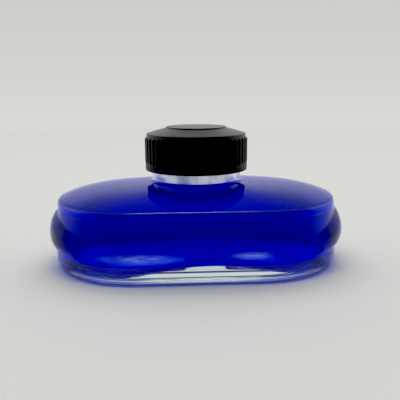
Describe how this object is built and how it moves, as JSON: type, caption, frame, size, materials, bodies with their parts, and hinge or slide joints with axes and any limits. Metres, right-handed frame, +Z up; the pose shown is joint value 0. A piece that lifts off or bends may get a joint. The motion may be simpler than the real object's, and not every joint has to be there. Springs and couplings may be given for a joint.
{
  "type": "ink bottle",
  "caption": "Wide oval glass bottle of fountain-pen ink with a lug at each end, a short threaded neck and a ribbed black screw cap that unscrews.",
  "frame": {"origin": "under the middle of the bottle, on the surface it stands on; the neck, thread and cap axis is the Z axis", "axes": "+X along the long side of the oval plan, +Y across it, +Z up along the neck"},
  "size_m": [0.0954, 0.054, 0.0441],
  "materials": {
    "clear_glass": "clear, fire-polished",
    "royal_blue_ink": "deep royal-blue liquid",
    "black_cap": "semi-matt black moulding",
    "liner_pulp": "pressed pulp",
    "liner_film": "smooth white film"
  },
  "bodies": {
    "bottle": {"glass_bottle": "clear_glass", "ink": "royal_blue_ink"},
    "liner": {"liner_board": "liner_pulp", "liner_facing": "liner_film"},
    "cap": {"cap_shell": "black_cap"}
  },
  "joints": [
    {"name": "cap_lift", "type": "slide", "parent": "bottle", "child": "liner", "axis": [0, 0, 1], "range_m": [0, 0.01261]},
    {"name": "cap_turn", "type": "hinge", "parent": "liner", "child": "cap", "pos_m": [0, 0, 0.0305], "axis": [0, 0, 1], "range_deg": [0, 1260]}
  ],
  "couplings": [
    {"joint": "cap_lift", "follows": "cap_turn", "m_per_rad": 0.00057296}
  ]
}
